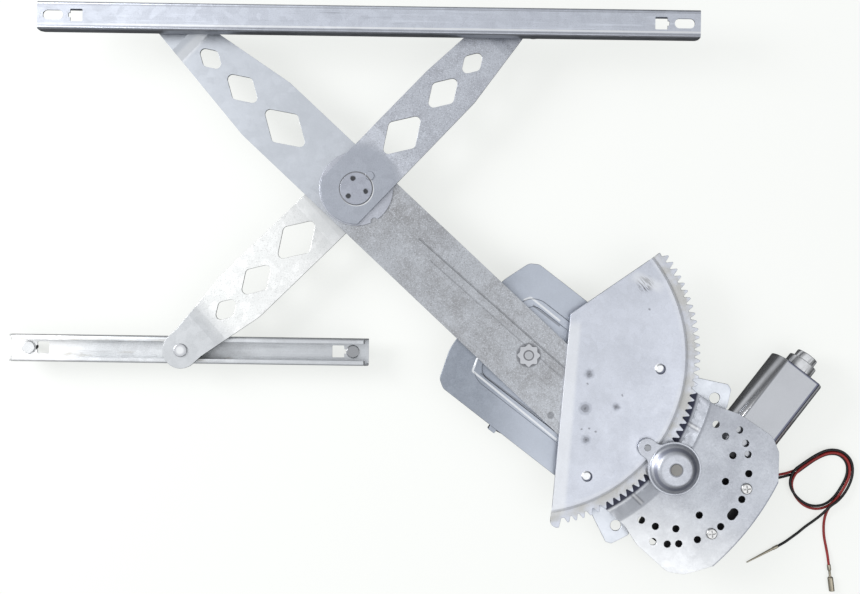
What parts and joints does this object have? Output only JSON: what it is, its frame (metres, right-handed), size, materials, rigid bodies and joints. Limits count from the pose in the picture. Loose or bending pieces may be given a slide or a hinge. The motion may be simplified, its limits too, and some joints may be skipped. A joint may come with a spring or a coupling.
{
  "type": "window regulator",
  "caption": "Scissor-arm vehicle window regulator with a sector gear, pinion, geared motor, glass rail and door rail.",
  "frame": {"origin": "under the middle of the box round the part without its cords, at the height of the gearbox cover it lies on", "axes": "+X along the two rails, +Y towards window up, +Z towards the front face shown in the picture"},
  "size_m": [0.7795, 0.525, 0.058],
  "materials": {
    "galvanised_steel": "bright zinc spangle, light wear",
    "arm_steel": "zinc plated pressing",
    "rail_steel": "zinc plated roll-formed strip",
    "gear_steel": "blanked steel, greased teeth",
    "pivot_steel": "turned and staked steel",
    "hub_steel": "plated washer and hub",
    "cap_steel": "drawn steel cap",
    "screw_steel": "zinc plated fixings",
    "housing_plastic": "black glass-filled moulding",
    "cover_alloy": "die-cast, matt",
    "red_insulation": "red insulated lead",
    "black_insulation": "black insulated lead",
    "terminal_tin": "tinned crimp terminal",
    "can_steel": "drawn plated can",
    "nylon": "natural nylon slider",
    "spring_steel": "oiled blue-black spring strip",
    "magnet": "ferrite",
    "core_steel": "laminated core",
    "copper": "copper",
    "carbon": "carbon brush",
    "holder_plastic": "moulded holder",
    "rubber": "damper rubber",
    "wheel_plastic": "acetal worm wheel",
    "bronze": "sintered bronze"
  },
  "bodies": {
    "base": {"base_plate": "galvanised_steel", "motor_bracket": "galvanised_steel", "pivot_bushing": "bronze", "pinion_cap": "cap_steel", "cap_guide_button": "nylon", "gearbox_housing": "housing_plastic", "gearbox_cover": "cover_alloy", "motor_screw_near": "screw_steel", "motor_screw_far": "screw_steel", "motor_can": "can_steel", "magnet_inner": "magnet", "magnet_outer": "magnet", "armature_core": "core_steel", "armature_shaft": "pivot_steel", "commutator": "copper", "brush_holder": "holder_plastic", "brush_inner": "carbon", "brush_outer": "carbon", "rear_bush": "bronze", "spring_anchor": "galvanised_steel", "lower_rail": "rail_steel", "lower_rail_stud_left": "screw_steel", "lower_rail_stud_right": "screw_steel", "counterbalance_spring": "spring_steel", "wire_grommet": "rubber", "red_wire": "red_insulation", "black_wire": "black_insulation", "red_terminal": "terminal_tin", "black_terminal": "terminal_tin"},
    "lift": {"lift_arm": "arm_steel", "sector_gear": "gear_steel", "pivot_shaft": "pivot_steel", "upper_left_stud": "pivot_steel"},
    "equalizer": {"equalizer_upper_arm": "arm_steel", "equalizer_lower_arm": "arm_steel", "cross_hub": "hub_steel", "hub_washer_front": "hub_steel", "hub_washer_rear": "hub_steel", "upper_right_stud": "pivot_steel", "lower_stud": "pivot_steel"},
    "left_upper_shoe": {"upper_left_shoe": "nylon"},
    "right_upper_shoe": {"upper_right_shoe": "nylon"},
    "bottom_shoe": {"lower_shoe": "nylon"},
    "glass_rail": {"top_rail": "rail_steel"},
    "drive_pinion": {"pinion": "gear_steel", "worm_wheel": "wheel_plastic", "wheel_damper": "rubber"}
  },
  "joints": [
    {"name": "lift_pivot", "type": "hinge", "parent": "base", "child": "lift", "pos_m": [0.10165, -0.05664, 0.036], "axis": [0, 0, -1], "range_deg": [-32, 21], "deforming": ["counterbalance_spring"]},
    {"name": "equalizer_pivot", "type": "hinge", "parent": "lift", "child": "equalizer", "pos_m": [-0.05507, 0.09054, 0.036], "axis": [0, 0, -1], "range_deg": [-42, 64]},
    {"name": "upper_left_shoe_pivot", "type": "hinge", "parent": "lift", "child": "left_upper_shoe", "pos_m": [-0.2118, 0.23771, 0.036], "axis": [0, 0, -1], "range_deg": [-21, 32]},
    {"name": "upper_right_shoe_pivot", "type": "hinge", "parent": "equalizer", "child": "right_upper_shoe", "pos_m": [0.10165, 0.23771, 0.036], "axis": [0, 0, -1], "range_deg": [-32, 21]},
    {"name": "lower_shoe_pivot", "type": "hinge", "parent": "equalizer", "child": "bottom_shoe", "pos_m": [-0.2118, -0.05664, 0.036], "axis": [0, 0, -1], "range_deg": [-32, 21]},
    {"name": "rail_slide", "type": "slide", "parent": "right_upper_shoe", "child": "glass_rail", "axis": [1, 0, 0], "range_m": [-0.095, 0.002]},
    {"name": "pinion_turn", "type": "hinge", "parent": "base", "child": "drive_pinion", "pos_m": [0.23266, -0.15572, 0.036], "axis": [0, 0, -1], "range_deg": [-257.8, 392.8]}
  ],
  "couplings": [
    {"joint": "equalizer_pivot", "follows": "lift_pivot", "ratio": -2},
    {"joint": "upper_left_shoe_pivot", "follows": "lift_pivot", "ratio": -1},
    {"joint": "upper_right_shoe_pivot", "follows": "lift_pivot", "ratio": 1},
    {"joint": "lower_shoe_pivot", "follows": "lift_pivot", "ratio": 1},
    {"joint": "pinion_turn", "follows": "lift_pivot", "ratio": -12.273}
  ]
}
